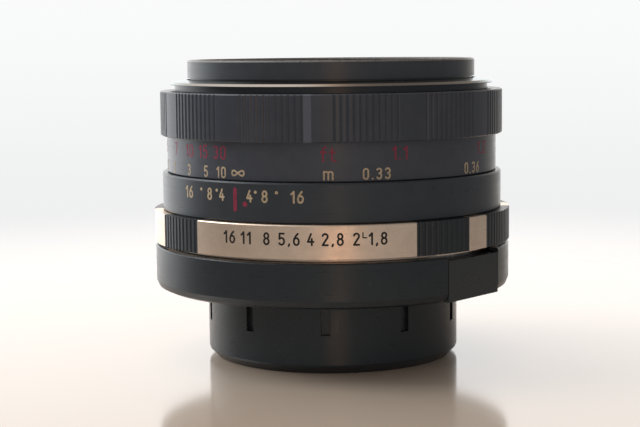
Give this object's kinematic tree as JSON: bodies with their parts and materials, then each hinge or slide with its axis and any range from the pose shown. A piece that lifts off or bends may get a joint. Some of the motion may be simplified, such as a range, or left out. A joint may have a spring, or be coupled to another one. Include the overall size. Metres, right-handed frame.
{
  "type": "prime camera lens",
  "caption": "Manual-focus standard prime lens with a fluted focus ring, distance and depth scales, a click-stop aperture ring, a leaf iris and a push-on rear cap.",
  "frame": {"origin": "centre of the rear cap's flat underside, on the optical axis", "axes": "+Z along the optical axis towards the front glass; -Y towards the side that faces the viewer, with the focus index 32 degrees to its left"},
  "size_m": [0.0632, 0.0632, 0.0524],
  "materials": {
    "black_anodised": "satin black anodised aluminium with a fine turned grain",
    "scale_black": "satin black anodised aluminium, engraved and filled scales",
    "shoulder_black": "satin black with a bright diamond-cut edge",
    "bright_aluminium": "fine brushed bright aluminium",
    "inner_aluminium": "turned aluminium, greased",
    "inner_black": "matt black lacquer against stray light",
    "brass": "turned brass",
    "steel": "bright steel",
    "blade_steel": "blued spring steel",
    "coated_glass": "polished, single coated",
    "cap_plastic": "moulded black plastic, semi-gloss"
  },
  "bodies": {
    "lens_body": {"base_ring": "black_anodised", "mount_flange": "black_anodised", "mount_screws": "steel", "fixed_barrel": "inner_aluminium", "index_ring": "scale_black", "guide_keys": "brass", "key_screws": "steel", "focus_stop_pin": "steel", "click_ball": "steel", "button_spring": "steel", "return_spring": "steel"},
    "cap": {"rear_cap": "cap_plastic"},
    "focus_grip": {"focus_ring": "black_anodised", "distance_scale_ring": "scale_black", "shoulder_ring": "shoulder_black", "focus_helicoid": "inner_aluminium", "helicoid_retaining_ring": "brass"},
    "aperture_selector": {"aperture_ring": "bright_aluminium", "aperture_grips": "black_anodised"},
    "optical_barrel": {"filter_ring": "black_anodised", "name_ring": "inner_black", "inner_barrel": "inner_aluminium", "front_cell": "inner_black", "front_cell_screws": "steel", "front_retaining_ring": "inner_black", "front_spacer": "inner_black", "front_element": "coated_glass", "second_element": "coated_glass", "third_element": "coated_glass", "fourth_element": "coated_glass", "fifth_element": "coated_glass", "rear_element": "coated_glass", "rear_cell": "inner_black", "rear_cell_screws": "steel", "rear_retaining_ring": "inner_black", "iris_housing": "inner_black", "iris_cover": "inner_black", "iris_snap_ring": "steel"},
    "stop_down_driver": {"stop_down_ring": "brass"},
    "pin": {"stop_down_pin": "steel"},
    "button": {"preview_button": "black_anodised"},
    "iris_driver": {"iris_drive_ring": "brass"},
    "blade_1": {"iris_blade_1": "blade_steel"},
    "blade_2": {"iris_blade_2": "blade_steel"},
    "blade_3": {"iris_blade_3": "blade_steel"},
    "blade_4": {"iris_blade_4": "blade_steel"},
    "blade_5": {"iris_blade_5": "blade_steel"},
    "blade_6": {"iris_blade_6": "blade_steel"}
  },
  "joints": [
    {"name": "cap_pull", "type": "slide", "parent": "lens_body", "child": "cap", "axis": [0, 0, -1], "range_m": [0, 0.02]},
    {"name": "focus_turn", "type": "hinge", "parent": "lens_body", "child": "focus_grip", "pos_m": [0, 0, 0.04], "axis": [0, 0, 1], "range_deg": [0, 314]},
    {"name": "barrel_slide", "type": "slide", "parent": "lens_body", "child": "optical_barrel", "axis": [0, 0, 1], "range_m": [0, 0.01144]},
    {"name": "aperture_turn", "type": "hinge", "parent": "lens_body", "child": "aperture_selector", "pos_m": [0, 0, 0.0235], "axis": [0, 0, 1], "range_deg": [-45.5, 0]},
    {"name": "stop_down_turn", "type": "hinge", "parent": "lens_body", "child": "stop_down_driver", "pos_m": [0, 0, 0.015], "axis": [0, 0, 1], "range_deg": [0, 12], "stiffness_Nm_per_rad": 0.02, "springref_deg": -11.46, "deforming": ["return_spring"]},
    {"name": "pin_press", "type": "slide", "parent": "lens_body", "child": "pin", "axis": [0, 0, 1], "range_m": [0, 0.003]},
    {"name": "button_press", "type": "slide", "parent": "lens_body", "child": "button", "axis": [-0.7683, 0.6401, 0], "range_m": [0, 0.0012], "deforming": ["button_spring"]},
    {"name": "iris_turn", "type": "hinge", "parent": "optical_barrel", "child": "iris_driver", "pos_m": [0, 0, 0.02275], "axis": [0, 0, 1], "range_deg": [0, 12]},
    {"name": "blade_1_swing", "type": "hinge", "parent": "optical_barrel", "child": "blade_1", "pos_m": [0.0195, 0, 0.024], "axis": [0, 0, 1], "range_deg": [0, 30.21]},
    {"name": "blade_2_swing", "type": "hinge", "parent": "optical_barrel", "child": "blade_2", "pos_m": [0.00975, 0.01689, 0.024], "axis": [0, 0, 1], "range_deg": [0, 30.21]},
    {"name": "blade_3_swing", "type": "hinge", "parent": "optical_barrel", "child": "blade_3", "pos_m": [-0.00975, 0.01689, 0.024], "axis": [0, 0, 1], "range_deg": [0, 30.21]},
    {"name": "blade_4_swing", "type": "hinge", "parent": "optical_barrel", "child": "blade_4", "pos_m": [-0.0195, 0, 0.024], "axis": [0, 0, 1], "range_deg": [0, 30.21]},
    {"name": "blade_5_swing", "type": "hinge", "parent": "optical_barrel", "child": "blade_5", "pos_m": [-0.00975, -0.01689, 0.024], "axis": [0, 0, 1], "range_deg": [0, 30.21]},
    {"name": "blade_6_swing", "type": "hinge", "parent": "optical_barrel", "child": "blade_6", "pos_m": [0.00975, -0.01689, 0.024], "axis": [0, 0, 1], "range_deg": [0, 30.21]}
  ],
  "couplings": [
    {"joint": "barrel_slide", "follows": "focus_turn", "m_per_rad": 0.0020872},
    {"joint": "iris_turn", "follows": "stop_down_turn", "ratio": 1},
    {"joint": "pin_press", "follows": "stop_down_turn", "m_per_rad": 0.014324},
    {"joint": "button_press", "follows": "stop_down_turn", "m_per_rad": 0.0057296},
    {"joint": "blade_1_swing", "follows": "stop_down_turn", "ratio": 2.5174},
    {"joint": "blade_2_swing", "follows": "stop_down_turn", "ratio": 2.5174},
    {"joint": "blade_3_swing", "follows": "stop_down_turn", "ratio": 2.5174},
    {"joint": "blade_4_swing", "follows": "stop_down_turn", "ratio": 2.5174},
    {"joint": "blade_5_swing", "follows": "stop_down_turn", "ratio": 2.5174},
    {"joint": "blade_6_swing", "follows": "stop_down_turn", "ratio": 2.5174}
  ]
}
